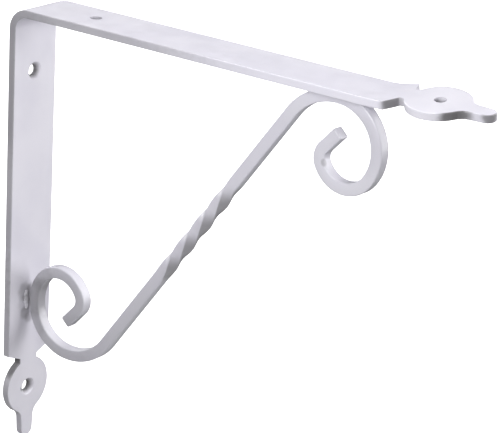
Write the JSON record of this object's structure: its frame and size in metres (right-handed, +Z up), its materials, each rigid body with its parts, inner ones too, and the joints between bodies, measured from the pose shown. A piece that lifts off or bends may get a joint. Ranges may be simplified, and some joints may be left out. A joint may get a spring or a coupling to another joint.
{
  "type": "shelf bracket",
  "caption": "White-painted wrought iron shelf bracket: flat bar bent to a right angle with rounded finials, braced by a twisted square bar ending in scrolls.",
  "frame": {"origin": "on the wall face of the upright leg, at the middle of its width, midway between its two screw holes", "axes": "+X out from the wall into the room, Y along the wall, +Z up towards the shelf"},
  "size_m": [0.2195, 0.0253, 0.1952],
  "materials": {
    "flat_bar_coat": "semi-gloss white paint, slightly cool",
    "brace_coat": "semi-gloss white paint, slightly cool"
  },
  "bodies": {
    "root": {"flat_bar_angle": "flat_bar_coat", "scroll_brace": "brace_coat"}
  },
  "joints": []
}
